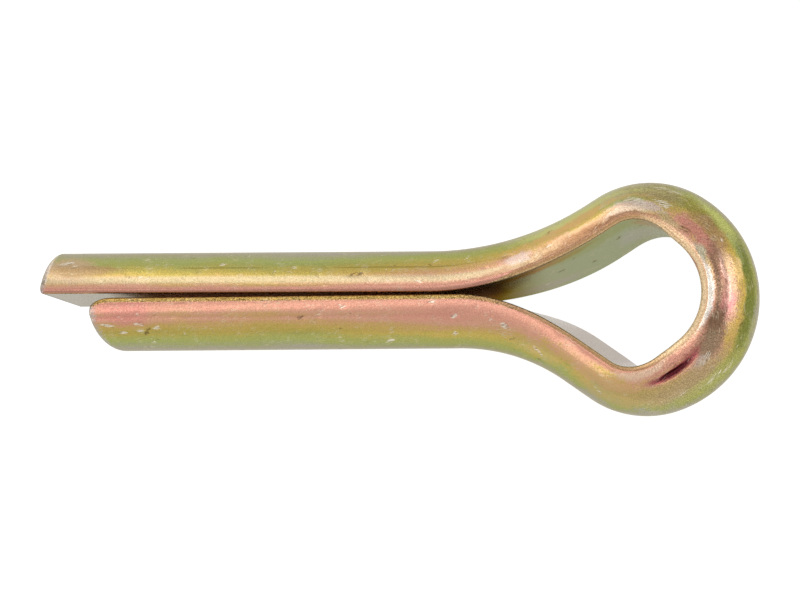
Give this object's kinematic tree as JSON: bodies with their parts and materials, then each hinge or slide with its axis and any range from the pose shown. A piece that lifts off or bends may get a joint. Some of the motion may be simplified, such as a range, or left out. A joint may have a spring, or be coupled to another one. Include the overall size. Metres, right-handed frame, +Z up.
{
  "type": "cotter pin",
  "caption": "Split pin of half-round steel wire: round closed shank, teardrop eye and legs of unequal length with sheared, slanting tips.",
  "frame": {"origin": "on the shank's axis at the seat line, where the wire starts to swell into the eye", "axes": "+X along the shank's axis towards the eye, +Y towards the longer leg, +Z up as the pin lies flat"},
  "size_m": [0.0864, 0.0281, 0.0118],
  "materials": {
    "plated_steel": "yellow-passivated zinc plate, satin, with tan, olive and pink tints and worn grey nicks"
  },
  "bodies": {
    "root": {"split_pin": "plated_steel"}
  },
  "joints": []
}
